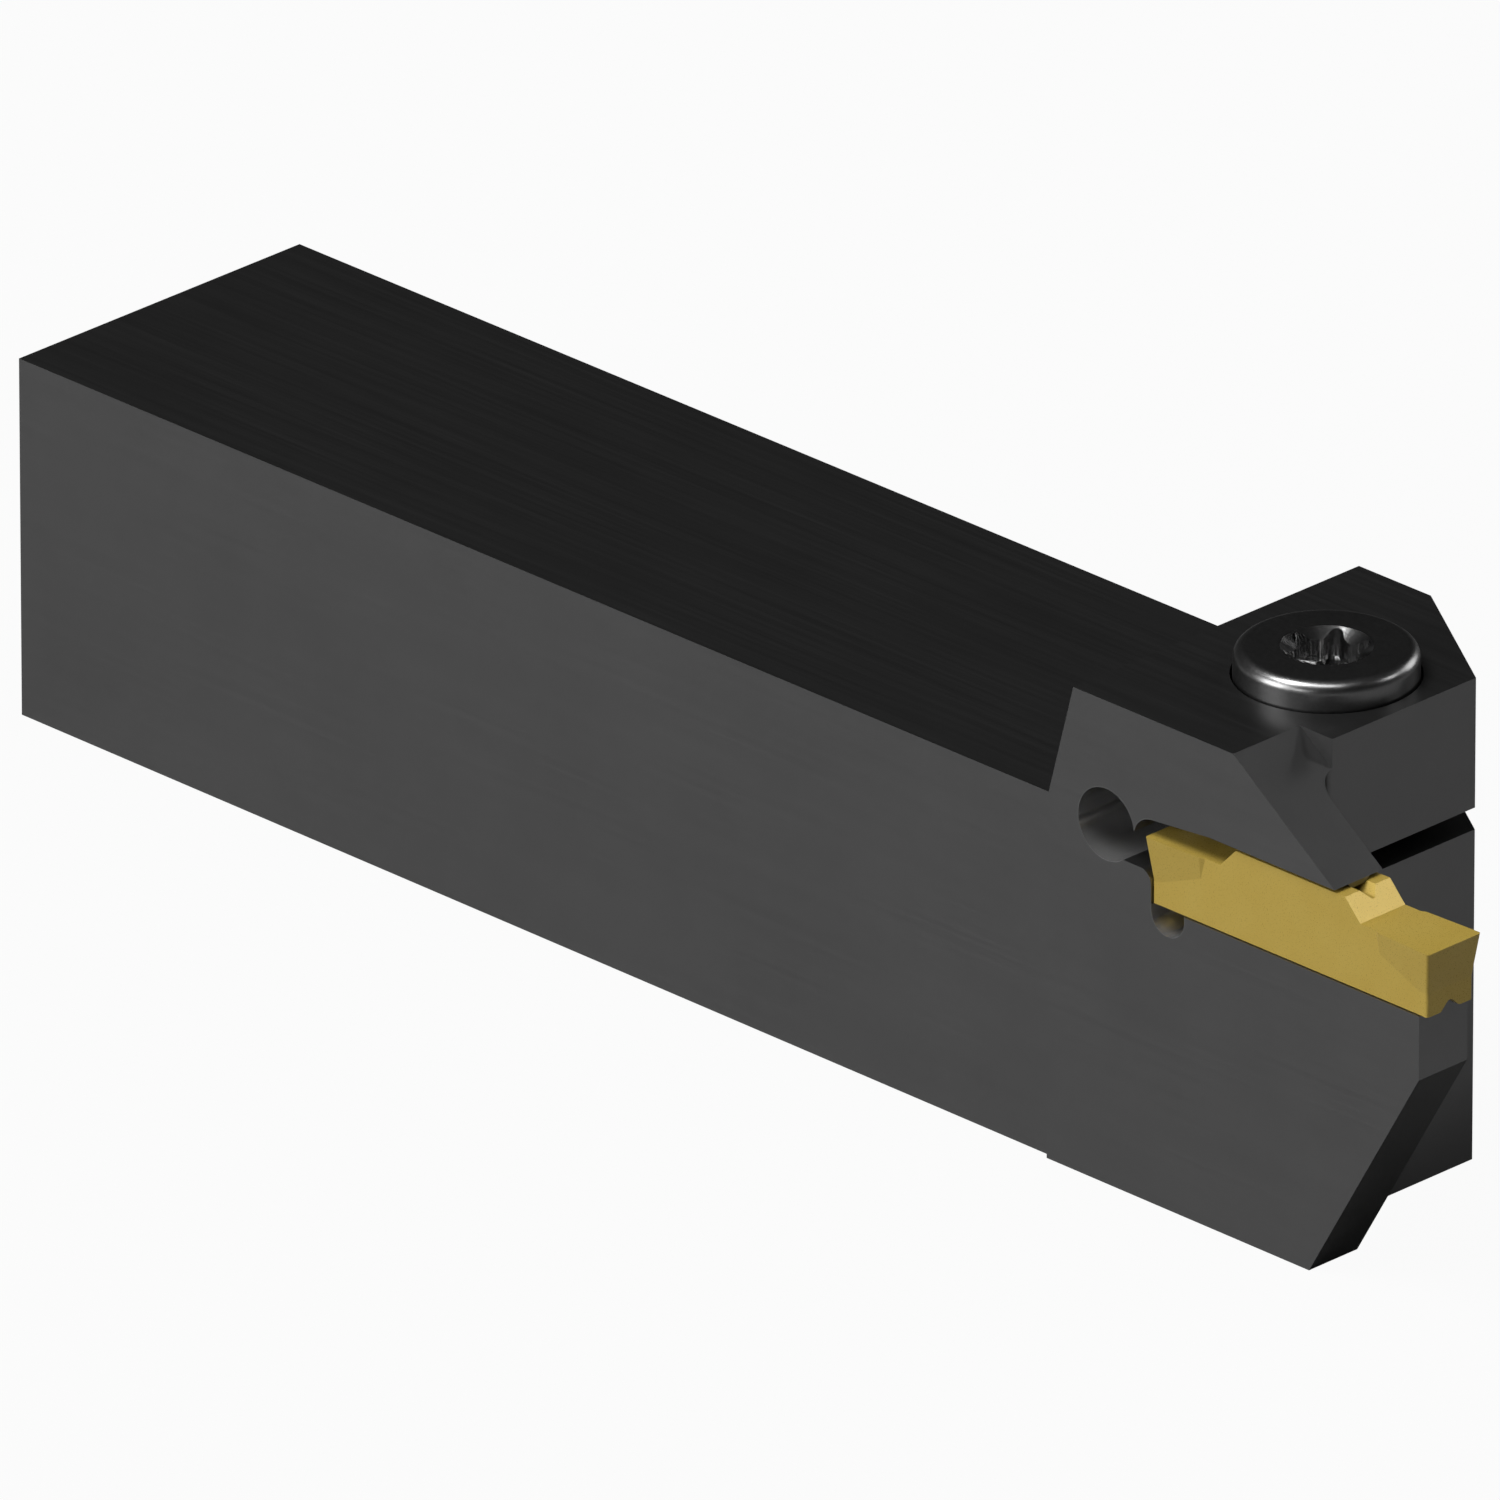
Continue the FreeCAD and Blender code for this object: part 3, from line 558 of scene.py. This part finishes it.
floor_mesh = bpy.data.meshes.new("studio_floor")
floor_corners = [
    (-floor_reach, -floor_reach, 0),
    (floor_reach, -floor_reach, 0),
    (floor_reach, floor_reach, 0),
    (-floor_reach, floor_reach, 0),
]
floor_mesh.from_pydata(floor_corners, [], [(0, 1, 2, 3)])
floor = bpy.data.objects.new("studio_floor", floor_mesh)
bpy.context.collection.objects.link(floor)
floor_paper = bpy.data.materials.new("white_paper_floor")
tree = empty_tree(floor_paper)
ray = add(tree, "ShaderNodeLightPath").outputs
seen_or_mirrored = add(tree, "ShaderNodeMath", {"operation": "ADD"}, {
    0: ray["Is Camera Ray"],
    1: ray["Is Glossy Ray"],
}).outputs[0]
looked_at = add(tree, "ShaderNodeMath", {"operation": "ADD", "use_clamp": True}, {
    0: seen_or_mirrored,
    1: ray["Is Transmission Ray"],
}).outputs[0]
whiteness = add(tree, "ShaderNodeMath", {"operation": "MULTIPLY_ADD"}, {
    0: ray["Is Camera Ray"],
    1: more_when_seen,
    2: white_when_mirrored,
}).outputs[0]
glow_share = add(tree, "ShaderNodeMath", {"operation": "MULTIPLY"}, {
    0: looked_at,
    1: whiteness,
}).outputs[0]
paper = add(tree, "ShaderNodeBsdfDiffuse", inputs={"Color": linear("#787878")}).outputs["BSDF"]
glow = add(tree, "ShaderNodeEmission", inputs={"Strength": 1.0}).outputs["Emission"]
floor_surface = add(tree, "ShaderNodeMixShader", inputs={
    0: glow_share,
    1: paper,
    2: glow,
}).outputs[0]
add(tree, "ShaderNodeOutputMaterial", inputs={"Surface": floor_surface})
floor_mesh.materials.append(floor_paper)

# The walls fade from grey near the floor to nearly black overhead, and a white backdrop hides them
# from the camera. The ramp's places are heights on a sphere of radius 1.
backdrop_when_mirrored = 0.008

room = bpy.data.worlds.new("studio_walls")
bpy.context.scene.world = room
tree = empty_tree(room)
direction = add(tree, "ShaderNodeTexCoord").outputs["Generated"]
height = add(tree, "ShaderNodeSeparateXYZ", inputs={"Vector": direction}).outputs["Z"]
wall_ramp = add(tree, "ShaderNodeValToRGB", inputs={"Fac": height})
wall_foot, wall_top = wall_ramp.color_ramp.elements
wall_foot.position = 0.06
wall_foot.color = linear("#616161")
wall_top.position = 0.3
wall_top.color = linear("#1C1C1C")
walls = add(tree, "ShaderNodeBackground", inputs={
    "Color": wall_ramp.outputs["Color"],
    "Strength": 1.0,
}).outputs["Background"]
backdrop = add(tree, "ShaderNodeBackground", inputs={
    "Color": linear("#FFFFFF"),
    "Strength": 1.0,
}).outputs["Background"]
ray = add(tree, "ShaderNodeLightPath").outputs
mirrored = add(tree, "ShaderNodeMath", {"operation": "ADD"}, {
    0: ray["Is Glossy Ray"],
    1: ray["Is Transmission Ray"],
}).outputs[0]
backdrop_share = add(tree, "ShaderNodeMath", {"operation": "MULTIPLY_ADD", "use_clamp": True}, {
    0: mirrored,
    1: backdrop_when_mirrored,
    2: ray["Is Camera Ray"],
}).outputs[0]
surroundings = add(tree, "ShaderNodeMixShader", inputs={
    0: backdrop_share,
    1: walls,
    2: backdrop,
}).outputs[0]
add(tree, "ShaderNodeOutputWorld", inputs={"Surface": surroundings})

# Softboxes, each given as its place and width in metres and its power in watts, all turned towards
# the tool.
softboxes = {
    "overhead_softbox": ((-0.35, -0.6, 1.35), 0.7, 27.0),
    "head_softbox": ((0.35, -0.35, 1.5), 0.5, 6.0),
    "back_softbox": ((1.12, 1.3, 1.18), 0.4, 4.5),
    "insert_side_softbox": ((-0.6, -1.45, 0.55), 0.9, 23.5),
    "front_fill": ((0.3, -1.6, 0.5), 0.4, 3.0),
    "far_side_fill": ((0.2, 1.7, 0.55), 0.8, 10.0),
}
for name, (spot, width, power) in softboxes.items():
    lamp = bpy.data.lights.new(name, "AREA")
    lamp.size = width
    lamp.energy = power
    softbox = bpy.data.objects.new(name, lamp)
    softbox.location = spot
    softbox.rotation_euler = (-Vector(spot)).to_track_quat("-Z", "Y").to_euler()
    bpy.context.collection.objects.link(softbox)

# The photograph's own view, worked out from the shank's edges: a long lens from the insert side,
# ahead of the tool and 25 degrees above it.
camera_lens = bpy.data.cameras.new("photograph_view")
camera_lens.lens = 1009.5
camera_lens.sensor_width = 36.0
camera_lens.clip_start = 0.1
camera_lens.clip_end = 50.0
camera = bpy.data.objects.new("photograph_view", camera_lens)
camera.location = (1.66298, -1.70210, 1.13342)
camera.rotation_euler = (math.radians(65), 0, math.radians(45))
bpy.context.collection.objects.link(camera)
bpy.context.scene.camera = camera
bpy.context.scene.view_settings.view_transform = "Standard"
